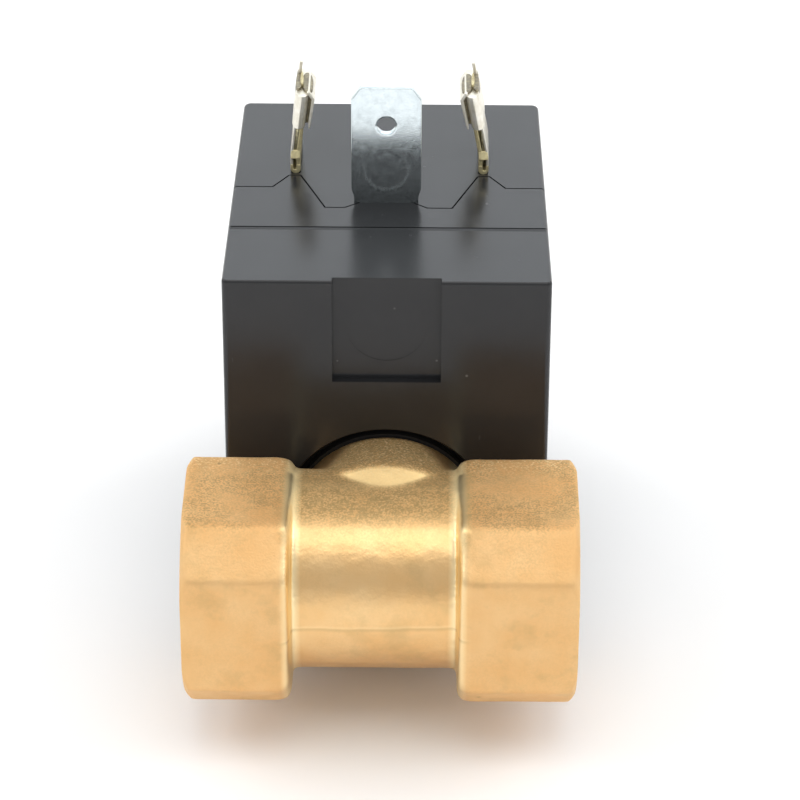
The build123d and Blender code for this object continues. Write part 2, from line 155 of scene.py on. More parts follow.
def make_camera():
    """Camera in front of the brass body, looking along the stem and down."""
    right = Vector((math.cos(CAMERA_AZIMUTH), math.sin(CAMERA_AZIMUTH), 0))
    level = Vector((-math.sin(CAMERA_AZIMUTH), math.cos(CAMERA_AZIMUTH), 0))
    forward = level * math.cos(CAMERA_ELEVATION) - Vector((0, 0, math.sin(CAMERA_ELEVATION)))
    up = right.cross(forward)
    place = PORT_AXIS - forward * CAMERA_DISTANCE + up * AIM_ABOVE_PIPE
    aim = place + forward * CAMERA_DISTANCE + right * AIM_RIGHT
    data = bpy.data.cameras.new("camera")
    data.sensor_width = SENSOR
    data.lens = IMAGE_FOCAL * SENSOR
    data.clip_start = 0.01
    camera = bpy.data.objects.new("camera", data)
    look = (aim - place).normalized()
    side = look.cross(up).normalized()
    top = side.cross(look)
    turn = Matrix((side, top, -look)).transposed().to_4x4()
    camera.matrix_world = Matrix.Translation(place) @ turn @ Matrix.Rotation(CAMERA_ROLL, 4, "Z")
    bpy.context.scene.collection.objects.link(camera)
    bpy.context.scene.camera = camera


# ------------------------------------------------------------------ studio
def make_floor():
    """Seamless pale sheet: flat under the valve, curved up far behind it."""
    half, depth, height, radius, steps = 1.6, 1.2, 1.8, 0.5, 24
    profile = [(-half, 0.0)]
    for i in range(steps + 1):
        a = math.pi / 2 * i / steps
        profile.append((depth - radius + radius * math.sin(a), radius - radius * math.cos(a)))
    profile.append((depth, height))
    verts = [(x, y, z) for y, z in profile for x in (-half, half)]
    faces = [(2 * i, 2 * i + 1, 2 * i + 3, 2 * i + 2) for i in range(len(profile) - 1)]
    floor = new_object("floor", verts, faces)
    paper = bpy.data.materials.new("paper")
    paper.use_nodes = True
    shader = paper.node_tree.nodes["Principled BSDF"]
    shader.inputs["Base Color"].default_value = (0.97, 0.97, 0.97, 1)
    shader.inputs["Roughness"].default_value = 0.9
    shader.inputs["Specular IOR Level"].default_value = 0.1
    floor.data.materials.append(paper)


def area_light(name, place, aim, width, height, radiance, color):
    """Soft rectangular light at place, turned to aim, as bright as radiance all over."""
    data = bpy.data.lights.new(name, "AREA")
    data.shape = "RECTANGLE"
    data.size = width
    data.size_y = height
    data.energy = radiance * math.pi * width * height
    data.color = color
    light = bpy.data.objects.new(name, data)
    light.location = place
    light.rotation_euler = (Vector(aim) - Vector(place)).to_track_quat("-Z", "Y").to_euler()
    bpy.context.scene.collection.objects.link(light)


def make_lights():
    """A pale tent with a soft key high in front, panels at the sides and a cool one behind."""
    world = bpy.data.worlds.new("tent")
    world.use_nodes = True
    tree = world.node_tree
    coords = tree.nodes.new("ShaderNodeTexCoord")
    split = tree.nodes.new("ShaderNodeSeparateXYZ")
    lift = tree.nodes.new("ShaderNodeMapRange")
    lift.inputs["From Min"].default_value = 0.1
    lift.inputs["From Max"].default_value = 0.9
    lift.inputs["To Min"].default_value = TENT_LOW
    lift.inputs["To Max"].default_value = TENT_HIGH
    tree.links.new(coords.outputs["Generated"], split.inputs[0])
    tree.links.new(split.outputs["Z"], lift.inputs["Value"])
    tree.links.new(lift.outputs["Result"], tree.nodes["Background"].inputs["Strength"])
    tree.nodes["Background"].inputs["Color"].default_value = (1.0, 1.0, 1.0, 1)
    bpy.context.scene.world = world
    valve = (0, -0.01, 0.02)
    white, cool = (1.0, 1.0, 1.0), (0.88, 0.97, 1.05)
    area_light("key", (0.04, -0.33, 0.87), valve, 0.7, 0.5, KEY, white)
    area_light("left_panel", (-0.9, 0.1, 0.75), valve, 0.8, 0.8, SIDE_PANEL, white)
    area_light("right_panel", (0.9, 0.1, 0.75), valve, 0.8, 0.8, SIDE_PANEL, white)
    area_light("back_panel", (0, 1.0, 0.66), valve, 1.6, 0.6, BACK_PANEL, cool)
    scene = bpy.context.scene
    scene.view_settings.view_transform = "Standard"
    scene.view_settings.look = "None"


# ------------------------------------------------------------------ node helpers
class Shader:
    """A material under construction, with coordinates in millimetres of the part's own frame."""

    def __init__(self, name):
        self.material = bpy.data.materials.new(name)
        self.material.use_nodes = True
        self.tree = self.material.node_tree
        self.bsdf = self.tree.nodes["Principled BSDF"]
        coords = self.tree.nodes.new("ShaderNodeTexCoord")
        scale = self.tree.nodes.new("ShaderNodeVectorMath")
        scale.operation = "SCALE"
        scale.inputs["Scale"].default_value = 1 / MM
        self.link(coords.outputs["Object"], scale.inputs[0])
        self.mm = scale.outputs[0]
        self.normal = coords.outputs["Normal"]

    def link(self, a, b):
        self.tree.links.new(a, b)

    def put(self, socket, value):
        """Link a socket, or set a constant, on an input of any node."""
        if isinstance(value, bpy.types.NodeSocket):
            self.link(value, socket)
        else:
            socket.default_value = value

    def set(self, **values):
        """Sets inputs of the surface shader, with _ for the spaces in their names."""
        for key, value in values.items():
            self.put(self.bsdf.inputs[key.replace("_", " ")], value)

    def stretch(self, x, y, z):
        """Coordinates scaled along each axis, to draw a texture out or pack it closer."""
        node = self.tree.nodes.new("ShaderNodeVectorMath")
        node.operation = "MULTIPLY"
        self.link(self.mm, node.inputs[0])
        node.inputs[1].default_value = (x, y, z)
        return node.outputs[0]

    def noise(self, scale, detail=2.0, rough=0.5, vector=None):
        node = self.tree.nodes.new("ShaderNodeTexNoise")
        self.link(vector or self.mm, node.inputs["Vector"])
        node.inputs["Scale"].default_value = scale
        node.inputs["Detail"].default_value = detail
        node.inputs["Roughness"].default_value = rough
        return node.outputs["Fac"]

    def cells(self, scale):
        """Distance to the nearest of some scattered points."""
        node = self.tree.nodes.new("ShaderNodeTexVoronoi")
        self.link(self.mm, node.inputs["Vector"])
        node.inputs["Scale"].default_value = scale
        return node.outputs["Distance"]

    def span(self, value, low, high, out_low=0.0, out_high=1.0):
        """Maps low..high onto out_low..out_high, and holds the ends."""
        node = self.tree.nodes.new("ShaderNodeMapRange")
        self.put(node.inputs["Value"], value)
        node.inputs["From Min"].default_value = low
        node.inputs["From Max"].default_value = high
        node.inputs["To Min"].default_value = out_low
        node.inputs["To Max"].default_value = out_high
        return node.outputs["Result"]

    def calc(self, operation, a, b=0.0):
        """One step of arithmetic."""
        node = self.tree.nodes.new("ShaderNodeMath")
        node.operation = operation
        self.put(node.inputs[0], a)
        self.put(node.inputs[1], b)
        return node.outputs[0]

    def times(self, *values):
        """The product of two or more values."""
        product = values[0]
        for value in values[1:]:
            product = self.calc("MULTIPLY", product, value)
        return product

    def distance(self, a, b):
        return self.calc("ABSOLUTE", self.calc("SUBTRACT", a, b))

    def mix(self, factor, a, b):
        """Colour a where factor is 0, colour b where it is 1."""
        node = self.tree.nodes.new("ShaderNodeMix")
        node.data_type = "RGBA"
        self.put(node.inputs["Factor"], factor)
        self.put(node.inputs[6], (*a, 1) if isinstance(a, tuple) else a)
        self.put(node.inputs[7], (*b, 1) if isinstance(b, tuple) else b)
        return node.outputs[2]

    def axis(self, name, vector=None):
        """One coordinate in mm, or one component of vector."""
        node = self.tree.nodes.new("ShaderNodeSeparateXYZ")
        self.link(vector or self.mm, node.inputs[0])
        return node.outputs[name]

    def bump(self, height, depth_mm, normal=None):
        """Relief depth_mm high, laid over normal where that is given."""
        node = self.tree.nodes.new("ShaderNodeBump")
        node.inputs["Strength"].default_value = 1.0
        node.inputs["Distance"].default_value = depth_mm * MM
        self.put(node.inputs["Height"], height)
        if normal is not None:
            self.link(normal, node.inputs["Normal"])
        return node.outputs["Normal"]


# ------------------------------------------------------------------ materials
def brass_zones(s):
    """Zones of the forging, each 0 to 1: beside the barrel, on top, and the lens on the boss, which is
    smoother and carries a painted highlight.
    """
    along = s.axis("X")
    left = s.span(along, BARREL_ENDS[0] - 1.15, BARREL_ENDS[0] - 0.15, 1.0, 0.0)
    right = s.span(along, BARREL_ENDS[1] + 0.35, BARREL_ENDS[1] + 1.35)
    beside = s.calc("MAXIMUM", left, right)
    above = s.span(s.axis("Z"), BODY_AXIS_Z + 7.6, BODY_AXIS_Z + 8.5)
    near_barrel = s.span(s.axis("Y"), BODY_AXIS_Y + 3.2, BODY_AXIS_Y + 3.7, 1.0, 0.0)
    over_barrel = s.span(s.axis("Z"), BODY_AXIS_Z + 9.1, BODY_AXIS_Z + 9.3)
    rubbed_lit_lens = s.times(near_barrel, over_barrel, s.calc("SUBTRACT", 1.0, beside))
    return beside, above, rubbed_lit_lens


def parting_line(s, beside):
    """The trimmed line round the barrel where the forging dies met, and a dull strip below it."""
    wander = s.times(s.calc("SUBTRACT", s.noise(0.15, 2.0), 0.5), 1.2)
    height = s.calc("SUBTRACT", s.calc("SUBTRACT", s.axis("Z"), BODY_AXIS_Z - 0.2), wander)
    on_barrel = s.calc("SUBTRACT", 1.0, beside)
    line = s.times(s.span(s.calc("ABSOLUTE", height), 0.03, 0.28, 1.0, 0.0), on_barrel)
    strip = s.times(s.span(height, -0.55, -0.2), s.span(height, -0.2, 0.0, 1.0, 0.0), on_barrel)
    return line, strip


def forged_brass():
    """Shot-blasted brass forging: sandy grain and dull patches, smoother round the barrel; painted shade
    on upward faces and the barrel top, painted highlights on the lens, the corners and as glints.
    """
    s = Shader("forged_brass_look")
    sand = s.noise(5.2, 1.0, 0.5)
    coarse = s.noise(1.7, 3.0, 0.6)
    grit = s.calc("ADD", s.times(sand, 0.6), s.times(coarse, 0.4))
    beside, above, rubbed_lit_lens = brass_zones(s)
    line, strip = parting_line(s, beside)
    tone = s.mix(s.span(s.noise(0.24, 3.0, 0.55), 0.35, 0.68), BRASS_WARM, BRASS_PALE)
    tone = s.mix(s.span(s.noise(0.33, 4.0, 0.6), 0.52, 0.78, 0.0, 0.4), tone, BRASS_DULL_AND_SHADE)
    # blasted grain, with painted shade that darkens it most where the surface faces up
    up = s.span(s.axis("Z", s.normal), 0.65, 0.98, 0.12, 1.0)
    upward_shade = s.times(up, s.span(s.noise(0.20, 2.0, 0.5), 0.42, 0.56, 0.35, 1.0))
    tone = s.mix(s.times(s.span(grit, 0.42, 0.60), upward_shade, 0.7), tone, BRASS_DULL_AND_SHADE)
    tone = s.mix(s.span(s.cells(0.16), 0.03, 0.055, 0.75, 0.0), tone, BRASS_SPECK)
    # painted highlight: the lens on the boss is smoother and painted bright; painted shade darkens the
    # barrel's top round it
    tone = s.mix(s.times(rubbed_lit_lens, 0.8), tone, BRASS_RUBBED_HIGHLIGHT)
    # painted shade on the barrel's top, mottled by the grit
    top_painted_shade = s.calc("MAXIMUM", s.calc("SUBTRACT", above, s.calc("ADD", beside, rubbed_lit_lens)), 0.0)
    tone = s.mix(s.times(top_painted_shade, s.span(grit, 0.40, 0.60, 0.35, 0.95)), tone, BRASS_DULL_AND_SHADE)
    # painted glints: bright specks on upward faces, most behind the barrel, on the boss
    glint = s.span(s.noise(4.4, 1.0, 0.5, s.stretch(1.0, 1.3, 1.0)), 0.55, 0.66)
    on_boss = s.span(s.axis("Y"), BODY_AXIS_Y + 2.5, BODY_AXIS_Y + 5.0, 0.12, 0.8)
    tone = s.mix(s.times(glint, on_boss, up), tone, BRASS_GLINT)
    # painted highlight: the corners beside the barrel are painted pale; the parting line is bright with
    # a dull strip below
    from_corner = s.calc("MINIMUM", *[s.distance(s.axis("X"), end) for end in BARREL_ENDS])
    tone = s.mix(s.span(from_corner, 0.2, 0.9, 0.8, 0.0), tone, BRASS_CORNER_HIGHLIGHT)
    tone = s.mix(s.times(line, 0.25), tone, BRASS_LINE)
    tone = s.mix(s.times(strip, 0.35), tone, BRASS_DULL_AND_SHADE)
    blasted = s.calc("SUBTRACT", s.calc("MAXIMUM", beside, above), rubbed_lit_lens)
    rough = s.span(blasted, 0.0, 1.0, BARREL_ROUGHNESS, BLASTED_ROUGHNESS)
    s.set(Base_Color=tone, Metallic=1.0, Roughness=s.calc("ADD", rough, s.times(up, 0.15)))
    relief = s.times(s.calc("ADD", sand, coarse), s.span(blasted, 0.0, 1.0, 0.2, 1.0))
    waves = s.bump(line, 0.012, s.bump(s.noise(0.8, 3.0, 0.6), 0.05))
    s.set(Normal=s.bump(relief, 0.022, waves))
    return s.material


def machined_brass():
    """Bright turned brass: fine rings round the pipe axis."""
    s = Shader("machined_brass_look")
    rings = s.noise(10.0, 2.0, 0.5, s.stretch(1.0, 0.03, 0.03))
    tone = s.mix(s.span(s.noise(0.7, 3.0), 0.35, 0.7), (0.92, 0.68, 0.34), (0.82, 0.58, 0.28))
    s.set(Base_Color=tone, Metallic=1.0)
    s.set(Roughness=s.span(rings, 0.3, 0.7, 0.18, 0.30))
    s.set(Normal=s.bump(rings, 0.01))
    return s.material


def coil_plastic():
    """Black moulding: even satin, a little dust and a few fine scuffs."""
    s = Shader("coil_plastic_look")
    cloud = s.noise(0.10, 3.0, 0.55)
    fine = s.noise(7.0, 2.0, 0.6)
    tone = s.mix(s.span(cloud, 0.35, 0.7), (0.0165, 0.017, 0.0185), (0.021, 0.0215, 0.023))
    dust = s.span(s.cells(0.28), 0.03, 0.05, 0.35, 0.0)
    tone = s.mix(dust, tone, (0.24, 0.24, 0.23))
    scratches = s.span(s.noise(1.6, 2.0, 0.5, s.stretch(1.0, 1.0, 0.22)), 0.70, 0.76)
    scuffed = s.span(s.noise(0.12, 2.0), 0.52, 0.62)
    tone = s.mix(s.times(scratches, scuffed, 0.25), tone, (0.09, 0.09, 0.10))
    s.set(Base_Color=tone)
    s.bsdf.inputs["IOR"].default_value = 1.43
    s.set(Roughness=s.span(cloud, 0.3, 0.7, 0.20, 0.27))
    s.set(Normal=s.bump(fine, 0.0012, s.bump(s.noise(0.35, 2.0), 0.010)))
    return s.material


def disc_marks(s, grey):
    """How matt the blade is: the rim of its coined disc, and fine specks where it is painted grey with
    shade near the coil.
    """
    aside = s.calc("SUBTRACT", s.axis("X"), BLADE_MIDDLE)
    above = s.calc("SUBTRACT", s.axis("Z"), COIL_TOP + DISC_HEIGHT)
    out = s.calc("SQRT", s.calc("ADD", s.times(aside, aside), s.times(above, above)))
    rim = s.span(s.distance(out, DISC_RADIUS), 0.02, 0.30, 0.16, 0.0)
    specks = s.span(s.noise(7.5, 1.0, 0.5), 0.35, 0.65, 0.0, 0.26)
    return s.calc("ADD", rim, s.times(s.span(grey, 0.2, 0.7), specks))


def zinc_steel(name, coil_shade_strength):
    """Bright zinc plating, bluish white and finely mottled; painted shade greys it just above the coil,
    for the coil's dark reflection.
    """
    s = Shader(name)
    cloud = s.noise(1.3, 3.0, 0.6)
    grain = s.noise(7.0, 2.0, 0.6)
    tone = s.mix(s.span(cloud, 0.35, 0.7), (0.80, 0.875, 0.90), (0.69, 0.77, 0.80))
    tone = s.mix(s.times(s.span(grain, 0.48, 0.66), 0.3), tone, (0.50, 0.56, 0.58))
    height = s.calc("ADD", s.axis("Z"), s.times(cloud, 1.5))
    # painted shade: greyer towards the coil top, standing in for the dark coil mirrored in the blade
    grey = s.span(height, COIL_TOP + 1.5, COIL_TOP + 7.0, coil_shade_strength, 0.0)
    tone = s.mix(grey, tone, (0.20, 0.225, 0.235))
    if coil_shade_strength:
        matt = disc_marks(s, grey)
        tone = s.mix(matt, tone, (0.13, 0.15, 0.155))
        s.set(Metallic=s.span(matt, 0.0, 1.0, 1.0, 0.0))
    else:
        s.set(Metallic=1.0)
    s.set(Base_Color=tone, Roughness=s.span(cloud, 0.3, 0.7, 0.15, 0.24))
    s.set(Normal=s.bump(grain, 0.0045))
    return s.material


def tinned_brass():
    """Tin over brass sheet: warm silver with faint drawing lines up the blade."""
    s = Shader("tinned_brass_look")
    lines = s.noise(5.0, 2.0, 0.5, s.stretch(1.0, 1.0, 0.15))
    tone = s.mix(s.span(s.noise(1.4, 3.0), 0.35, 0.7), (0.90, 0.87, 0.78), (0.76, 0.72, 0.60))
    s.set(Base_Color=tone, Metallic=0.75)
    s.set(Roughness=s.span(lines, 0.3, 0.7, 0.34, 0.46))
    s.set(Normal=s.bump(lines, 0.003))
    return s.material


def contact_metal():
    """Bare brass sheet of the contacts, dulled."""
    s = Shader("contact_metal_look")
    stain = s.noise(1.8, 3.0, 0.6)
    tone = s.mix(s.span(stain, 0.35, 0.65), (0.74, 0.66, 0.38), (0.50, 0.43, 0.24))
    s.set(Base_Color=tone, Metallic=0.6)
    s.set(Roughness=s.span(stain, 0.3, 0.7, 0.30, 0.44))
    s.set(Normal=s.bump(s.noise(7.0), 0.004))
    return s.material


def tarnished_tip():
    """Cut tips of the contacts: brown-grey sheared brass."""
    s = Shader("tarnished_tip_look")
    stain = s.noise(2.6, 3.0, 0.6)
    tone = s.mix(s.span(stain, 0.35, 0.65), (0.31, 0.275, 0.18), (0.20, 0.175, 0.135))
    s.set(Base_Color=tone, Metallic=0.8)
    s.set(Roughness=s.span(stain, 0.3, 0.7, 0.32, 0.48))
    s.set(Normal=s.bump(s.noise(6.0), 0.01))
    return s.material


def turned_steel(name, color, rough):
    """Turned metal: fine rings round the stem axis."""
    s = Shader(name)
    rings = s.noise(14.0, 1.0, 0.5, s.stretch(0.02, 1.0, 0.02))
    darker = tuple(0.85 * c for c in color)
    s.set(Base_Color=s.mix(s.span(s.noise(1.0), 0.3, 0.7), color, darker), Metallic=1.0)
    s.set(Roughness=s.span(rings, 0.3, 0.7, rough, rough + 0.12))
    s.set(Normal=s.bump(rings, 0.004))
    return s.material


def seal_rubber():
    """Matt black nitrile."""
    s = Shader("seal_rubber_look")
    fine = s.noise(8.0, 3.0)
    s.set(Base_Color=s.mix(fine, (0.012, 0.012, 0.013), (0.024, 0.024, 0.024)))
    s.set(Roughness=s.span(fine, 0.3, 0.7, 0.6, 0.75))
    s.set(Normal=s.bump(fine, 0.01))
    return s.material


def winding_wire():
    """Enamelled copper wire, laid in turns square to the stem."""
    s = Shader("winding_wire_look")
    turns = s.tree.nodes.new("ShaderNodeTexWave")
    turns.bands_direction = "Y"
    turns.inputs["Scale"].default_value = 2.0
    s.link(s.mm, turns.inputs["Vector"])
    s.set(Base_Color=s.mix(turns.outputs["Fac"], (0.42, 0.13, 0.05), (0.72, 0.30, 0.13)), Metallic=0.9)
    s.set(Roughness=0.3)
    s.set(Normal=s.bump(turns.outputs["Fac"], 0.05))
    return s.material


def bobbin_plastic():
    """Natural nylon."""
    s = Shader("bobbin_plastic_look")
    s.set(Base_Color=s.mix(s.noise(0.6, 3.0), (0.62, 0.58, 0.47), (0.72, 0.69, 0.60)))
    s.set(Roughness=s.span(s.noise(5.0), 0.3, 0.7, 0.4, 0.5))
    s.set(Normal=s.bump(s.noise(9.0), 0.004))
    return s.material


LOOKS = {
    "forged_brass": forged_brass(),
    "coil_plastic": coil_plastic(),
    "zinc_steel": zinc_steel("zinc_steel_look", 0.0),
    "contact_metal": contact_metal(),
    "stainless": turned_steel("stainless_look", (0.62, 0.61, 0.59), 0.25),
    "soft_iron": turned_steel("soft_iron_look", (0.35, 0.35, 0.36), 0.4),
    "seal_rubber": seal_rubber(),
    "winding_wire": winding_wire(),
    "bobbin_plastic": bobbin_plastic(),
}
MACHINED_BRASS = machined_brass()
SHADED_BLADE_ZINC = zinc_steel("shaded_blade_zinc_look", 0.8)
TINNED_BRASS = tinned_brass()
TARNISHED_TIP = tarnished_tip()


# ------------------------------------------------------------------ mesh helpers
def bake(piece):
    """Applies a piece's modifiers to its mesh."""
    graph = bpy.context.evaluated_depsgraph_get()
    mesh = bpy.data.meshes.new_from_object(piece.evaluated_get(graph))
    piece.modifiers.clear()
    piece.data = mesh


def bevel(piece, width_mm):
    """Rounds a piece's sharp edges."""
    modifier = piece.modifiers.new("edges", "BEVEL")
    modifier.width = width_mm * MM
    modifier.segments = 2
    modifier.limit_method = "ANGLE"
    modifier.angle_limit = math.radians(35)
    modifier.harden_normals = True
    bake(piece)


def finish_piece(piece, look, body, node):
    """Gives a piece its material and its body, and hides the CAD node that it stands for."""
    piece.data.materials.clear()
    piece.data.materials.append(look)
    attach(piece, body)
    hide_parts(node)


def remeshed(node, name, voxel_mm):
    """A new object with a CAD node's shape in an even mesh of small faces."""
    made = bpy.data.objects.new(name, frame["nodes"][node].data.copy())
    bpy.context.scene.collection.objects.link(made)
    work = bmesh.new()
    work.from_mesh(made.data)
    bmesh.ops.remove_doubles(work, verts=work.verts, dist=1e-6)
    work.to_mesh(made.data)
    work.free()
    voxels = made.modifiers.new("voxels", "REMESH")
    voxels.mode = "VOXEL"
    voxels.voxel_size = voxel_mm * MM
    bake(made)
    return made


def points_of(mesh, what="co"):
    """A mesh's points or normals as rows of three."""
    values = np.empty(len(mesh.vertices) * 3)
    mesh.vertices.foreach_get(what, values)
    return values.reshape(-1, 3)


def relax(mesh, pulls):
    """Moves every point towards the middle of its neighbours, once for each set of pulls."""
    count = len(mesh.vertices)
    edges = np.empty(len(mesh.edges) * 2, dtype=np.int64)
    mesh.edges.foreach_get("vertices", edges)
    a, b = edges.reshape(-1, 2).T
    near = np.maximum(np.bincount(a, minlength=count) + np.bincount(b, minlength=count), 1)
    at = points_of(mesh)
    for pull in pulls:
        for k in range(3):
            total = np.bincount(a, at[b, k], count) + np.bincount(b, at[a, k], count)
            at[:, k] += pull * (total / near - at[:, k])
    mesh.vertices.foreach_set("co", at.ravel())
    mesh.update()


def keep_inside(mesh, node):
    """Moves points that lie outside a CAD node's box onto it."""
    low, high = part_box(node)
    at = np.clip(points_of(mesh), tuple(low), tuple(high))
    mesh.vertices.foreach_set("co", at.ravel())
    mesh.update()


def shade(mesh, angle):
    """Smooth shading, broken at edges sharper than angle."""
    mesh.polygons.foreach_set("use_smooth", [True] * len(mesh.polygons))
    mesh.set_sharp_from_angle(angle=math.radians(angle))


def face_outwards(mesh):
    """Turns the faces of a closed mesh so that they all face outwards."""
    work = bmesh.new()
    work.from_mesh(mesh)
    bmesh.ops.recalc_face_normals(work, faces=work.faces)
    work.to_mesh(mesh)
    work.free()


def prism(name, outline, low, high, place, round_mm):
    """Closed piece from an outline of (a, b) points, swept from low to high; place maps to the frame."""
    count = len(outline)
    verts = [place(a, b, c) for c in (low, high) for a, b in outline]
    sides = [(i, (i + 1) % count, count + (i + 1) % count, count + i) for i in range(count)]
    made = new_object(name, verts, [tuple(range(count))[::-1], tuple(range(count, 2 * count)), *sides])
    face_outwards(made.data)
    bevel(made, round_mm)
    return made


def soft_outline(points, rounds=2):
    """A closed outline with its corners cut again and again, so that it comes out round."""
    for _ in range(rounds):
        cut = []
        for (ax, ay), (bx, by) in zip(points, points[1:] + points[:1]):
            cut.append((0.75 * ax + 0.25 * bx, 0.75 * ay + 0.25 * by))
            cut.append((0.25 * ax + 0.75 * bx, 0.25 * ay + 0.75 * by))
        points = cut
    return points


# ------------------------------------------------------------------ brass body
def forging():
    """The brass body with the soft edges and slightly uneven skin of a forging."""
    shell = remeshed("valve_body", "forged_body", FORGING_VOXEL)
    mesh = shell.data
    x, y, z = (points_of(mesh) / MM).T
    from_end = np.minimum(x - BODY[0][0] / MM, BODY[1][0] / MM - x)
    from_ports = np.hypot(y - BODY_AXIS_Y, z - BODY_AXIS_Z)
    from_stem = np.hypot(x, z - BODY_AXIS_Z)
    # 1 on the forged skin, falling to 0 at the machined ends, ports, chamber and boss face
    skin = np.clip(from_end / MACHINED_FADE, 0, 1)
    skin *= np.clip((from_ports - PORTS_OUT) * 3, 0, 1) + (np.abs(x) < PORTS_START)
    skin *= np.clip((from_stem - CHAMBER_OUT) * 3, 0, 1) + (y < BODY_AXIS_Y)
    skin *= np.clip((BODY_AXIS_Y + BOSS_FACE - y) / MACHINED_FADE, 0, 1)
    skin = np.clip(skin, 0, 1)
    on_boss = (y > BODY_AXIS_Y + 2.0) & (from_stem < 11.0) & (from_ports > 9.0)
    soft = skin * np.where(on_boss, BOSS_SOFTNESS, 1.0)
    # the corners between barrel and octagons stay tight, and the octagons' inner rims come out rounder
    from_barrel_end = np.minimum(np.abs(x - BARREL_ENDS[0]), np.abs(x - BARREL_ENDS[1]))
    above_barrel = np.hypot(y - BODY_AXIS_Y - BARREL_SHIFT, z - BODY_AXIS_Z) - BARREL_RADIUS
    from_root = np.hypot(from_barrel_end, np.clip(above_barrel, 0, None))
    soft *= ROOT_SOFTNESS + (1 - ROOT_SOFTNESS) * np.clip(from_root, 0, 1)
    rim = skin * np.clip(above_barrel / 0.8 - 0.25, 0, 1) * np.clip(1.6 - from_barrel_end, 0, 1)
    relax(mesh, [0.5 * np.maximum(soft, 0.5)] * 2)
    relax(mesh, [0.5 * soft] * (FORGING_SMOOTHING - 2) + [0.5 * rim] * RIM_SMOOTHING)
    at = points_of(mesh)
    swell = np.array([sum(height * noise.noise(Vector(p) * rate) for rate, height in SKIN_WAVES)
                      for p in at / MM]) - SKIN_SINK
    at += points_of(mesh, "normal") * (swell * skin * MM)[:, None]
    mesh.vertices.foreach_set("co", at.ravel())
    mesh.update()
    keep_inside(mesh, "valve_body")
    shade(mesh, 38)
    finish_piece(shell, LOOKS["forged_brass"], "body", "valve_body")


def port_thread(name, end_x, inward):
    """Ring that lines a port: helical ridges of a G1/4 thread, behind a lead-in cone."""
    pitch, ridge, root, mouth = 1.337, 0.82, 6.55, 7.26
    depth, columns, per_pitch = 9.0, 80, 10
    rows = int(depth / pitch * per_pitch)
    verts, faces = [], []
    for i in range(rows + 1):
        along = depth * i / rows
        for j in range(columns):
            turn = j / columns
            phase = (along / pitch + turn) % 1.0
            # a ridge with sloping flanks and a flat crest, which fades out at the thread's inner end
            lift = min(1.0, max(0.0, 1.5 - 3.2 * abs(phase - 0.5)) / 1.1)
            fade = min(1.0, max(0.0, (depth - along) / pitch - 0.6))
            r = max(root - ridge * lift * fade, mouth - along)
            verts.append((end_x + inward * along, r, turn))
    verts += [(end_x + inward * depth, mouth + 0.2, j / columns) for j in range(columns)]
    verts += [(end_x, mouth + 0.2, j / columns) for j in range(columns)]
    total = rows + 3
    for i in range(total):
        for j in range(columns):
            k = (j + 1) % columns
            a, b = i * columns, (i + 1) % total * columns
            faces.append((a + j, a + k, b + k, b + j))
    points = []
    for x, r, turn in verts:
        angle = 2 * math.pi * turn
        points.append((x * MM, PORT_AXIS.y + r * MM * math.cos(angle),
                       PORT_AXIS.z + r * MM * math.sin(angle)))
    ring = new_object(name, points, faces)
    face_outwards(ring.data)
    ring.data.set_sharp_from_angle(angle=math.radians(40))
    finish_piece(ring, MACHINED_BRASS, "body", "valve_body")


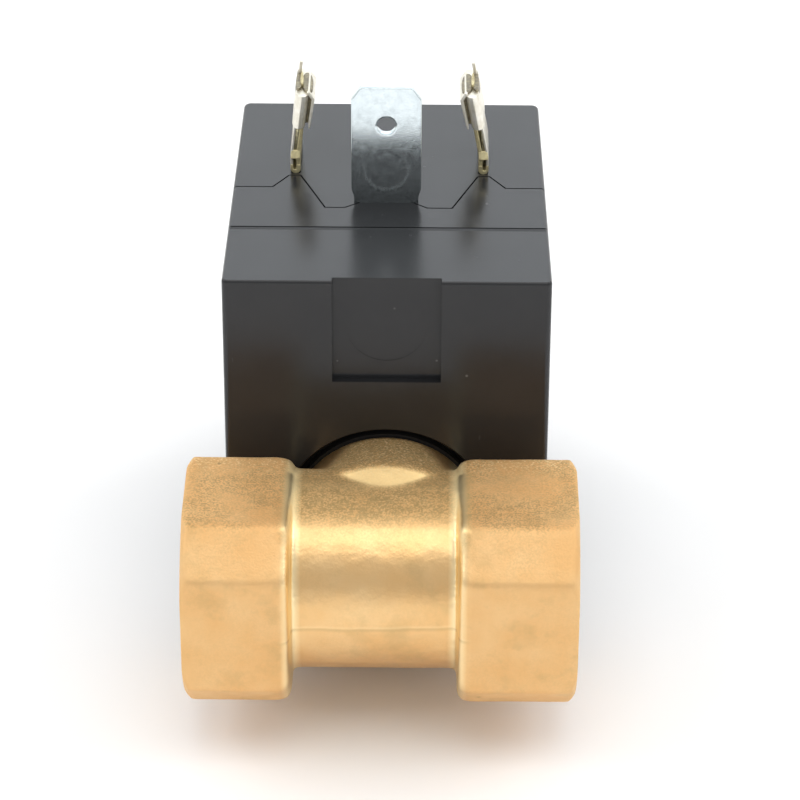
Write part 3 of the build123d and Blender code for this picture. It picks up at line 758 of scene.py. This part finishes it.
# ------------------------------------------------------------------ plug contacts
def power_contact(side, lean):
    """Folded contact: two leaves with a slot, a bridge, a tinned sleeve, a wing and a split tip."""
    name = "left" if side < 0 else "right"
    node = "power_contact_" + name
    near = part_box(node)[0][1] / MM
    slope = math.tan(math.radians(lean))

    def upright(across, up, deep):
        """Frame point: across runs inwards, up from the coil, deep away from the brass body."""
        x = side * (CONTACT_SPACING / 2 - across - max(0.0, up - CONTACT_BEND) * slope)
        return (x * MM, (near + deep) * MM, (COIL_TOP + up) * MM)

    def lying(across, deep, up):
        """The same for outlines drawn in plan."""
        return upright(across, up, deep)

    def sideways(deep, up, across):
        """The same for outlines drawn from the side."""
        return upright(across, up, deep)

    def piece(part, outline, low, high, place, look, round_mm):
        """One closed piece of this contact."""
        made = prism(f"{name}_contact_{part}", outline, low, high, place, round_mm)
        finish_piece(made, look, "coil", node)

    def leaf(outer, inner):
        """Upright strip of sheet that leans from the bend up."""
        return [(outer, 0.3), (inner, 0.3), (inner, CONTACT_BEND),
                (inner, 5.0), (outer, 5.0), (outer, CONTACT_BEND)]

    piece("outer_leaf", leaf(-0.50, -0.24), 0.3, 6.0, upright, TINNED_BRASS, 0.10)
    piece("inner_leaf", leaf(0.06, 0.46), 0.3, 6.0, upright, LOOKS["contact_metal"], 0.12)
    foot = [(-0.50, 0.9), (-0.50, 0.3), (-0.30, 0.02), (0.0, -0.05), (0.30, 0.02), (0.46, 0.3),
            (0.46, 0.9), (0.06, 0.9), (0.04, 0.42), (-0.08, 0.34), (-0.22, 0.42), (-0.24, 0.9)]
    piece("foot", foot, 0.26, 6.0, upright, LOOKS["contact_metal"], 0.10)
    bridge = [(0.0, 1.62), (0.32, 2.44), (6.1, 2.44), (6.1, 1.62)]
    piece("bridge", bridge, -0.48, 0.42, sideways, LOOKS["contact_metal"], 0.1)
    sleeve = [(0.56, 0.5), (0.30, 0.12), (-0.05, 0.0), (-0.38, 0.22),
              (-0.60, 0.75), (-0.66, 1.4), (-0.66, 6.2), (0.58, 6.2)]
    piece("sleeve", sleeve, 4.78, 8.25, lying, TINNED_BRASS, 0.08)
    # a dark sheet set back in the gap between sleeve and wing: painted shade for that gap
    gap_shade_sheet = [(0.5, 1.2), (0.5, 5.0), (0.95, 5.0), (0.95, 1.2)]
    piece("gap_shade_sheet", gap_shade_sheet, 4.9, 8.1, lying, TARNISHED_TIP, 0.05)
    wing = [(0.86, 5.2), (0.96, 4.6), (1.10, 4.8), (1.22, 7.8), (0.62, 8.55), (0.36, 8.45), (0.92, 7.7)]
    piece("wing", wing, 0.4, 5.2, upright, TINNED_BRASS, 0.06)
    outer_lobe = soft_outline([(-0.66, 1.3), (-0.76, 2.8), (-0.64, 5.2),
                               (-0.36, 6.1), (-0.06, 3.4), (-0.20, 1.2)])
    piece("outer_lobe", outer_lobe, 7.9, 8.55, lying, TARNISHED_TIP, 0.14)
    crest = soft_outline([(-0.30, 2.0), (-0.34, 3.6), (-0.24, 4.8), (-0.04, 3.8), (0.0, 1.8)], 1)
    piece("crest", crest, 8.2, 8.75, lying, LOOKS["contact_metal"], 0.12)
    inner_lobe = soft_outline([(-0.06, 1.4), (-0.14, 3.4), (0.04, 4.9), (0.62, 4.8),
                               (0.98, 3.4), (0.96, 0.8), (0.46, 0.6)])
    piece("inner_lobe", inner_lobe, 7.9, 8.5, lying, TARNISHED_TIP, 0.2)
    spike = [(-0.56, 4.6), (-0.52, 6.0), (-0.26, 6.0), (-0.24, 4.6)]
    piece("spike", spike, 8.0, 9.7, lying, TINNED_BRASS, 0.06)


# ------------------------------------------------------------------ other pieces
def stamped(node, name, voxel_mm, look, body):
    """A CAD piece with the slightly rounded edges of stamped and plated metal."""
    made = remeshed(node, name, voxel_mm)
    relax(made.data, [0.5] * 3)
    keep_inside(made.data, node)
    shade(made.data, 50)
    finish_piece(made, look, body, node)


def return_spring():
    """Wound spring between the plunger's pocket and the fixed core."""
    low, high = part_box("return_spring")
    wire = 0.22 * MM
    radius = (high.x - low.x) / 2 - wire
    start, length = low.y + wire, high.y - low.y - 2 * wire
    turns, per_turn, around = 8.5, 24, 8
    steps = int(turns * per_turn)
    verts, faces = [], []
    for i in range(steps + 1):
        t = i / steps
        # three quarters of a turn lie flat at each end, and the others are spread evenly
        y = start + length * min(max((t * turns - 0.75) / (turns - 1.5), 0.0), 1.0)
        angle = 2 * math.pi * turns * t
        out = Vector((math.cos(angle), 0, math.sin(angle)))
        centre = Vector((0, y, PORT_AXIS.z)) + out * radius
        for j in range(around):
            c = 2 * math.pi * j / around
            verts.append(centre + out * wire * math.cos(c) + Vector((0, wire * math.sin(c), 0)))
    for i in range(steps):
        for j in range(around):
            k = (j + 1) % around
            faces.append((i * around + j, i * around + k, (i + 1) * around + k, (i + 1) * around + j))
    faces.append(tuple(range(around))[::-1])
    faces.append(tuple(range(steps * around, (steps + 1) * around)))
    spring = new_object("wound_spring", verts, faces)
    finish_piece(spring, LOOKS["stainless"], "body", "return_spring")
    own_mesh(spring)


# ------------------------------------------------------------------ making
make_camera()
make_floor()
make_lights()

for part in frame["record"]["subparts"]:
    node = frame["nodes"][part["node"]]
    for slot in node.material_slots:
        slot.material = LOOKS[part["material_slot"]]

forging()
port_thread("left_port_thread", BODY[0][0] / MM, 1)
port_thread("right_port_thread", BODY[1][0] / MM, -1)
power_contact(-1, LEFT_LEAN)
power_contact(1, RIGHT_LEAN)
stamped("earth_contact", "earth_blade", BLADE_VOXEL, SHADED_BLADE_ZINC, "coil")
stamped("rear_washer", "flat_washer", WASHER_VOXEL, LOOKS["zinc_steel"], "body")
stamped("spring_washer", "split_washer", WASHER_VOXEL, LOOKS["zinc_steel"], "body")
stamped("coil_nut", "hex_nut", WASHER_VOXEL, LOOKS["zinc_steel"], "body")
return_spring()
